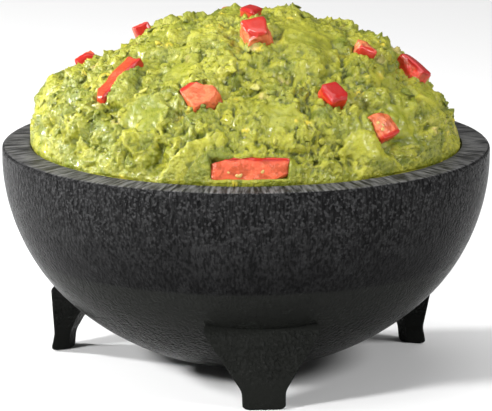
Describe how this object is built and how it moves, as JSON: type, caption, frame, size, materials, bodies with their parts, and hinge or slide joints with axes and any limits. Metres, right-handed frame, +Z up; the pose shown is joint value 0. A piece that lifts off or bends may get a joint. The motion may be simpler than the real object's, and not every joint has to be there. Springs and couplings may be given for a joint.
{
  "type": "molcajete",
  "caption": "Round three-legged molcajete serving bowl with a thick flat rim, heaped with guacamole and diced tomato that lift out as one loose filling.",
  "frame": {"origin": "on the bowl's axis, at the level of the three soles", "axes": "+Z up along the bowl's axis, out of its mouth; -Y towards the front leg; +X to the right when the front leg points at the viewer"},
  "size_m": [0.203, 0.203, 0.154],
  "materials": {
    "charcoal": "charcoal, leather-grained below the rim, brushed on the rim face, satin elsewhere",
    "guacamole": "moist, coarse mash",
    "tomato": "wet cut flesh and skin"
  },
  "bodies": {
    "molcajete": {"bowl": "charcoal", "leg_front": "charcoal", "leg_left": "charcoal", "leg_right": "charcoal"},
    "filling": {"guacamole": "guacamole", "tomato_01": "tomato", "tomato_02": "tomato", "tomato_03": "tomato", "tomato_04": "tomato", "tomato_05": "tomato", "tomato_06": "tomato", "tomato_07": "tomato", "tomato_08": "tomato", "tomato_09": "tomato", "tomato_10": "tomato", "tomato_11": "tomato", "tomato_12": "tomato", "tomato_13": "tomato", "tomato_14": "tomato", "tomato_15": "tomato", "tomato_16": "tomato", "tomato_17": "tomato"}
  },
  "joints": [
    {"name": "filling_lift", "type": "slide", "parent": "molcajete", "child": "filling", "axis": [0, 0, 1], "range_m": [0, 0.15]}
  ]
}
